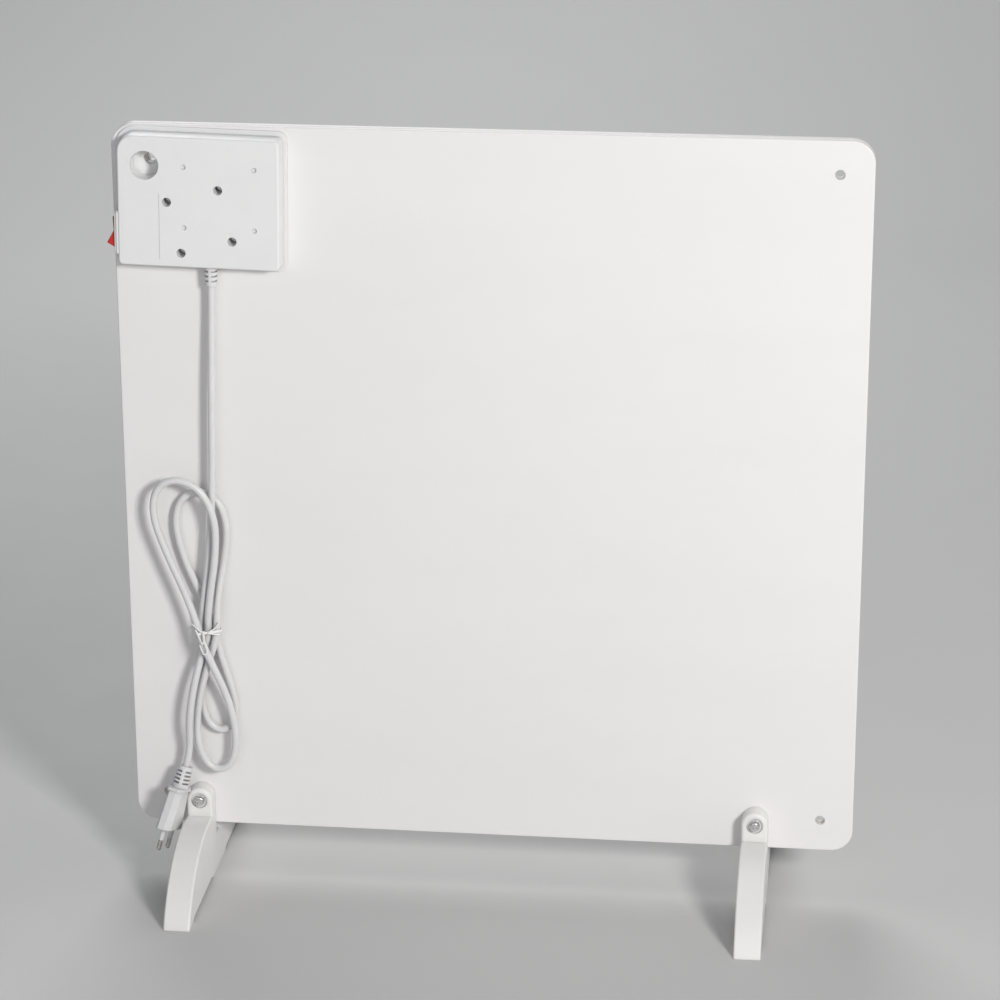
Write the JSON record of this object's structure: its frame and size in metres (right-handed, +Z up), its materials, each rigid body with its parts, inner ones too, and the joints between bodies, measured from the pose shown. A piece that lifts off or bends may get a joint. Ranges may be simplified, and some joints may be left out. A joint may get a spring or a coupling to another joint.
{
  "type": "convector panel heater",
  "caption": "Flat square ceramic panel heater on slotted feet, with a rear control box, rocker switch, bundled supply cord and flat plug.",
  "frame": {"origin": "on the floor under the middle of the panel, between its two faces", "axes": "+Z up; the smooth front faces -Y; the control box and cord are on the +Y side"},
  "size_m": [0.6029, 0.256, 0.642],
  "materials": {
    "glazed_plate": "smooth white glaze",
    "carrier": "matt fibre sheet",
    "heater_ribbon": "dull resistance strip",
    "seal": "matt sealant",
    "brass": "bare turned or stamped brass",
    "steel": "bright zinc plate",
    "grommet": "matt silicone",
    "box_plastic": "fine moulded grain, slightly cool white",
    "foot_plastic": "smooth moulded, slightly warm white",
    "foot_pad": "soft pad",
    "block_plastic": "moulded, pale cream",
    "cutout_plastic": "black moulding",
    "lead_sleeve": "woven silicone sleeve",
    "wire_sleeve": "brown insulation",
    "core_sleeve": "blue insulation",
    "relief_rubber": "flexible white sleeve",
    "switch_body": "white bezel and body",
    "rocker_red": "glossy red",
    "copper": "copper alloy strip",
    "cord_sheath": "smooth soft white sheath",
    "tie_skin": "thin coated wire",
    "plug_plastic": "soft white moulding",
    "pin_metal": "nickel-plated brass",
    "pin_sleeve": "white sleeve"
  },
  "bodies": {
    "heater": {"front_plate": "glazed_plate", "back_plate": "glazed_plate", "edge_seal": "seal", "heating_element": "heater_ribbon", "element_sheet": "carrier", "foot_inserts": "brass", "box_inserts": "brass", "lead_grommet": "grommet", "control_box": "box_plastic", "box_screws": "steel", "terminal_block": "block_plastic", "terminal_clamps": "brass", "terminal_screws": "steel", "block_screws": "steel", "cord_clamp": "block_plastic", "clamp_screws": "steel", "thermal_cutout": "cutout_plastic", "cutout_tabs": "brass", "cutout_spring": "steel", "lead_wires": "lead_sleeve", "switch_wires": "wire_sleeve", "cord_cores": "core_sleeve", "strain_relief": "relief_rubber", "switch_housing": "switch_body", "switch_fulcrum": "copper", "switch_terminals": "brass", "foot_left": "foot_plastic", "foot_right": "foot_plastic", "foot_washers": "steel", "foot_screws": "steel", "foot_pads": "foot_pad", "cord_lead": "cord_sheath", "cord_hank": "cord_sheath", "cord_tail": "cord_sheath", "twist_tie": "tie_skin", "plug_body": "plug_plastic", "plug_boot": "plug_plastic", "plug_pins": "pin_metal", "plug_sleeves": "pin_sleeve"},
    "rocker": {"switch_rocker": "rocker_red", "rocker_plunger": "steel"},
    "lever": {"contact_lever": "copper"}
  },
  "joints": [
    {"name": "switch_press", "type": "hinge", "parent": "heater", "child": "rocker", "pos_m": [0.29292, 0.0152, 0.55758], "axis": [0, 1, 0], "range_deg": [0, 26]},
    {"name": "contact_tilt", "type": "hinge", "parent": "heater", "child": "lever", "pos_m": [0.28392, 0.0152, 0.5574], "axis": [0, 1, 0], "range_deg": [-10.4, 0]}
  ],
  "couplings": [
    {"joint": "contact_tilt", "follows": "switch_press", "ratio": -0.4}
  ]
}
